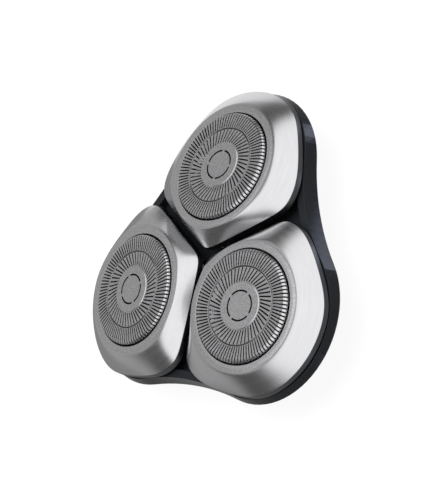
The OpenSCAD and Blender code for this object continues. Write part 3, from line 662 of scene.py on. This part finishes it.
def studio_piece(name, made, material):
    """A piece of the studio that shows only in reflections."""
    piece = new_object(name, finished_mesh(name, made), [material])
    piece.visible_camera = False
    piece.visible_diffuse = False
    piece.visible_transmission = False
    piece.visible_shadow = False


def glow_material(name, colour=WHITE):
    material, tree = bare_material(name)
    glow = add_node(tree, "ShaderNodeEmission", {}, {"Color": colour})
    add_node(tree, "ShaderNodeOutputMaterial", {}, {"Surface": glow.outputs["Emission"]})
    return material, tree, glow.inputs["Strength"]


# Large oval softbox over the head's right side: its middle and half widths in the direction's X and Y
BOX_MIDDLE = (0.42, 0.14)
BOX_HALF = (0.62, 0.86)
# Where its glow starts and is full, in half widths from its middle
BOX_START = 1.32
BOX_FULL = 0.98
# Black flags at its two ends: where along Y each starts and is full, and where outside the oval it ends
UPPER_FLAG = (0.3, 0.5, 1.85, 1.6)
LOWER_FLAG = (-0.3, -0.5, 2.05, 1.75)
# The walls change from one level to the other between these two heights of the direction
HIGH_WALL_Z = 0.5
LOW_WALL_Z = 0.2
BOX_LEVEL = 1.1
TRAY_LEVEL = 0.26
FLAG_LEVEL = 0.08
WALL_LEVEL = 0.36
LOW_WALL_LEVEL = 0.4


def make_dome():
    """The studio as steel mirrors it: softbox, black flags and grey walls that are lighter low down."""
    radius = 1.2
    material, tree, strength = glow_material("studio_walls")
    x, y, z = direction_from_head(tree)
    shares = []
    for value, middle, half in zip((x, y), BOX_MIDDLE, BOX_HALF):
        offset = add_node(tree, "ShaderNodeMath", {"operation": "SUBTRACT"}, {0: value, 1: middle})
        share = add_node(tree, "ShaderNodeMath", {"operation": "DIVIDE"}, {
            0: offset.outputs["Value"], 1: half})
        shares.append(share.outputs["Value"])
    place = add_node(tree, "ShaderNodeCombineXYZ", {}, {"X": shares[0], "Y": shares[1]})
    length = add_node(tree, "ShaderNodeVectorMath", {"operation": "LENGTH"}, {0: place.outputs["Vector"]})
    oval = length.outputs["Value"]
    box = add_node(tree, "ShaderNodeMapRange", SMOOTHLY, {
        "Value": oval, "From Min": BOX_START, "From Max": BOX_FULL})
    flags = []
    for start, full, end, inner_end in (UPPER_FLAG, LOWER_FLAG):
        past = add_node(tree, "ShaderNodeMapRange", SMOOTHLY, {
            "Value": y, "From Min": start, "From Max": full})
        near = add_node(tree, "ShaderNodeMapRange", SMOOTHLY, {
            "Value": oval, "From Min": end, "From Max": inner_end})
        flag = add_node(tree, "ShaderNodeMath", {"operation": "MULTIPLY"}, {
            0: past.outputs["Result"], 1: near.outputs["Result"]})
        flags.append(flag.outputs["Value"])
    flagged = add_node(tree, "ShaderNodeMath", {"operation": "MAXIMUM"}, {0: flags[0], 1: flags[1]})
    walls = add_node(tree, "ShaderNodeMapRange", SMOOTHLY, {
        "Value": z, "From Min": HIGH_WALL_Z, "From Max": LOW_WALL_Z,
        "To Min": WALL_LEVEL, "To Max": LOW_WALL_LEVEL})
    dark = add_node(tree, "ShaderNodeMix", {"data_type": "FLOAT"}, {
        "Factor": flagged.outputs["Value"], "A": walls.outputs["Result"], "B": FLAG_LEVEL})
    level = add_node(tree, "ShaderNodeMix", {"data_type": "FLOAT"}, {
        "Factor": box.outputs["Result"], "A": dark.outputs["Result"], "B": BOX_LEVEL})
    tree.links.new(level.outputs["Result"], strength)
    made = bmesh.new()
    bmesh.ops.create_icosphere(made, subdivisions=5, radius=radius)
    studio_piece("studio_dome", made, material)


def make_tray():
    """A shallow grey tray round the head, white at its far left, that hides the floor from the steel."""
    steps = 96
    tray_r = 62
    tray_z = 0.4
    wall_z = 18
    sections = ((1, tray_z), (30, tray_z), (tray_r, tray_z), (tray_r, wall_z))
    white_level = 0.9
    # Where the white part starts and is full, along Y and along X, in metres
    far_start, far_full = 0.022, 0.032
    left_start, left_full = 0.0, -0.02
    material, tree, strength = glow_material("grey_tray")
    coordinates = add_node(tree, "ShaderNodeTexCoord", {}, {})
    parts = add_node(tree, "ShaderNodeSeparateXYZ", {}, {"Vector": coordinates.outputs["Object"]})
    far = add_node(tree, "ShaderNodeMapRange", SMOOTHLY, {
        "Value": parts.outputs["Y"], "From Min": far_start, "From Max": far_full})
    left = add_node(tree, "ShaderNodeMapRange", SMOOTHLY, {
        "Value": parts.outputs["X"], "From Min": left_start, "From Max": left_full})
    white = add_node(tree, "ShaderNodeMath", {"operation": "MULTIPLY"}, {
        0: far.outputs["Result"], 1: left.outputs["Result"]})
    level = add_node(tree, "ShaderNodeMix", {"data_type": "FLOAT"}, {
        "Factor": white.outputs["Value"], "A": TRAY_LEVEL, "B": white_level})
    tree.links.new(level.outputs["Result"], strength)
    made = bmesh.new()
    angles = [2 * math.pi * s / steps for s in range(steps)]
    rows = [[made.verts.new(Vector((*polar(radius, angle), z)) * MM) for angle in angles]
            for radius, z in sections]
    for inner, outer in zip(rows, rows[1:]):
        for s in range(steps):
            following = (s + 1) % steps
            made.faces.new((inner[s], inner[following], outer[following], outer[s]))
    studio_piece("grey_tray", made, material)


def light_card(name, middle, half_along, half_across, level):
    """A small card beside the head, bright in its middle, that shows as a streak in the polished wall."""
    bright_middle = 0.2
    material, tree, strength = glow_material(name, linear("#d2d8ee"))
    middle = Vector(middle) * MM
    along = Vector(half_along) * MM
    across = Vector(half_across) * MM
    coordinates = add_node(tree, "ShaderNodeTexCoord", {}, {})
    offset = add_node(tree, "ShaderNodeVectorMath", {"operation": "SUBTRACT"}, {
        0: coordinates.outputs["Object"], 1: middle})
    shares = []
    for half in (along, across):
        share = add_node(tree, "ShaderNodeVectorMath", {"operation": "DOT_PRODUCT"}, {
            0: offset.outputs["Vector"], 1: half / half.length_squared})
        shares.append(share.outputs["Value"])
    place = add_node(tree, "ShaderNodeCombineXYZ", {}, {"X": shares[0], "Y": shares[1]})
    off = add_node(tree, "ShaderNodeVectorMath", {"operation": "LENGTH"}, {0: place.outputs["Vector"]})
    fade = add_node(tree, "ShaderNodeMapRange", SMOOTHLY, {
        "Value": off.outputs["Value"], "From Min": 1.0, "From Max": bright_middle,
        "To Min": TRAY_LEVEL, "To Max": level})
    tree.links.new(fade.outputs["Result"], strength)
    made = bmesh.new()
    corners = ((-1, -1), (1, -1), (1, 1), (-1, 1))
    made.faces.new([made.verts.new(middle + along * i + across * j) for i, j in corners])
    studio_piece(name, made, material)


def make_lights():
    area_light("top_softbox", towards=(0.3, 0.1, 0.95), distance=0.5, size=0.36, watts=5.0)
    make_dome()
    make_tray()
    light_card("upper_card", (20, 50.5, 0.6), half_along=(9.5, -3, 0), half_across=(2, 7, 0), level=3.0)
    light_card("middle_card", (29.5, 24, 0.6), half_along=(0, 7, 0), half_across=(6, 0, 0), level=2.2)
    light_card("lower_card", (50.2, -29, 4), half_along=(4.5, 7.8, 0), half_across=(0, 0, 4), level=3.0)


make_camera()
make_world()
make_floor()
make_lights()
make_pods()
make_blacks()
make_inner_parts()
bpy.context.scene.view_settings.view_transform = "Standard"
